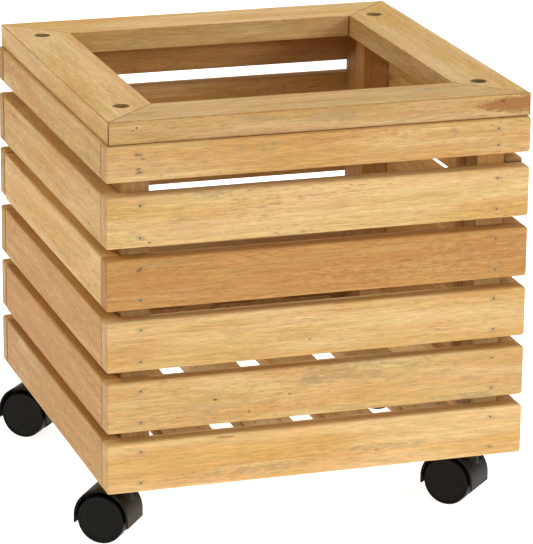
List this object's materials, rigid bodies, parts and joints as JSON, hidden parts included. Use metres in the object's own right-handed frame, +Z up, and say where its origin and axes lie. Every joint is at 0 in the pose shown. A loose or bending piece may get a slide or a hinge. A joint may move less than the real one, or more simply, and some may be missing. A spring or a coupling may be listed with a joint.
{
  "type": "plant pot caddy",
  "caption": "Square slatted wooden plant pot caddy: an open box with a mitred rim and a slatted floor, rolling on hooded twin-wheel swivel casters.",
  "frame": {"origin": "on the floor, under the middle of the box", "axes": "+X to the right along the front, +Y to the back, +Z up"},
  "size_m": [0.4312, 0.4, 0.4105],
  "materials": {
    "rim_wood": "planed hardwood, clear oil",
    "slat_wood": "planed hardwood, clear oil",
    "batten_wood": "planed hardwood, clear oil",
    "floor_wood": "sawn hardwood",
    "zinc_steel": "bright zinc plate",
    "hood_plastic": "moulded black nylon, semi-gloss",
    "wheel_plastic": "moulded black nylon, satin"
  },
  "bodies": {
    "box": {"rim_front": "rim_wood", "rim_back": "rim_wood", "rim_left": "rim_wood", "rim_right": "rim_wood", "front_slat_1": "slat_wood", "front_slat_2": "slat_wood", "front_slat_3": "slat_wood", "front_slat_4": "slat_wood", "front_slat_5": "slat_wood", "front_slat_6": "slat_wood", "back_slat_1": "slat_wood", "back_slat_2": "slat_wood", "back_slat_3": "slat_wood", "back_slat_4": "slat_wood", "back_slat_5": "slat_wood", "back_slat_6": "slat_wood", "left_slat_1": "slat_wood", "left_slat_2": "slat_wood", "left_slat_3": "slat_wood", "left_slat_4": "slat_wood", "left_slat_5": "slat_wood", "left_slat_6": "slat_wood", "right_slat_1": "slat_wood", "right_slat_2": "slat_wood", "right_slat_3": "slat_wood", "right_slat_4": "slat_wood", "right_slat_5": "slat_wood", "right_slat_6": "slat_wood", "front_battens": "batten_wood", "back_battens": "batten_wood", "left_battens": "batten_wood", "right_battens": "batten_wood", "floor_board_1": "floor_wood", "floor_board_2": "floor_wood", "floor_board_3": "floor_wood", "floor_board_4": "floor_wood", "bearer_front": "floor_wood", "bearer_back": "floor_wood", "rim_screws": "zinc_steel", "rim_nails": "zinc_steel", "slat_nails": "zinc_steel", "floor_nails": "zinc_steel", "bearer_screws": "zinc_steel", "caster_stems": "zinc_steel"},
    "caster_front_left": {"hood_front_left": "hood_plastic", "axle_front_left": "zinc_steel"},
    "inner_wheel_front_left": {"inner_wheel_front_left": "wheel_plastic"},
    "outer_wheel_front_left": {"outer_wheel_front_left": "wheel_plastic"},
    "caster_front_right": {"hood_front_right": "hood_plastic", "axle_front_right": "zinc_steel"},
    "inner_wheel_front_right": {"inner_wheel_front_right": "wheel_plastic"},
    "outer_wheel_front_right": {"outer_wheel_front_right": "wheel_plastic"},
    "caster_back_left": {"hood_back_left": "hood_plastic", "axle_back_left": "zinc_steel"},
    "inner_wheel_back_left": {"inner_wheel_back_left": "wheel_plastic"},
    "outer_wheel_back_left": {"outer_wheel_back_left": "wheel_plastic"},
    "caster_back_right": {"hood_back_right": "hood_plastic", "axle_back_right": "zinc_steel"},
    "inner_wheel_back_right": {"inner_wheel_back_right": "wheel_plastic"},
    "outer_wheel_back_right": {"outer_wheel_back_right": "wheel_plastic"}
  },
  "joints": [
    {"name": "swivel_front_left", "type": "hinge", "parent": "box", "child": "caster_front_left", "pos_m": [-0.17, -0.1475, 0.045], "axis": [0, 0, 1], "continuous": true},
    {"name": "spin_inner_wheel_front_left", "type": "hinge", "parent": "caster_front_left", "child": "inner_wheel_front_left", "pos_m": [-0.17556, -0.12829, 0.02275], "axis": [0.6018, 0.7986, 0], "continuous": true},
    {"name": "spin_outer_wheel_front_left", "type": "hinge", "parent": "caster_front_left", "child": "outer_wheel_front_left", "pos_m": [-0.19, -0.14746, 0.02275], "axis": [0.6018, 0.7986, 0], "continuous": true},
    {"name": "swivel_front_right", "type": "hinge", "parent": "box", "child": "caster_front_right", "pos_m": [0.17, -0.1475, 0.045], "axis": [0, 0, 1], "continuous": true},
    {"name": "spin_inner_wheel_front_right", "type": "hinge", "parent": "caster_front_right", "child": "inner_wheel_front_right", "pos_m": [0.16717, -0.1277, 0.02275], "axis": [0.7071, 0.7071, 0], "continuous": true},
    {"name": "spin_outer_wheel_front_right", "type": "hinge", "parent": "caster_front_right", "child": "outer_wheel_front_right", "pos_m": [0.1502, -0.14467, 0.02275], "axis": [0.7071, 0.7071, 0], "continuous": true},
    {"name": "swivel_back_left", "type": "hinge", "parent": "box", "child": "caster_back_left", "pos_m": [-0.17, 0.1475, 0.045], "axis": [0, 0, 1], "continuous": true},
    {"name": "spin_inner_wheel_back_left", "type": "hinge", "parent": "caster_back_left", "child": "inner_wheel_back_left", "pos_m": [-0.1742, 0.16705, 0.02275], "axis": [0.6561, 0.7547, 0], "continuous": true},
    {"name": "spin_outer_wheel_back_left", "type": "hinge", "parent": "caster_back_left", "child": "outer_wheel_back_left", "pos_m": [-0.18995, 0.14894, 0.02275], "axis": [0.6561, 0.7547, 0], "continuous": true},
    {"name": "swivel_back_right", "type": "hinge", "parent": "box", "child": "caster_back_right", "pos_m": [0.17, 0.1475, 0.045], "axis": [0, 0, 1], "continuous": true},
    {"name": "spin_inner_wheel_back_right", "type": "hinge", "parent": "caster_back_right", "child": "inner_wheel_back_right", "pos_m": [0.17556, 0.12829, 0.02275], "axis": [-0.6018, -0.7986, 0], "continuous": true},
    {"name": "spin_outer_wheel_back_right", "type": "hinge", "parent": "caster_back_right", "child": "outer_wheel_back_right", "pos_m": [0.19, 0.14746, 0.02275], "axis": [-0.6018, -0.7986, 0], "continuous": true}
  ]
}
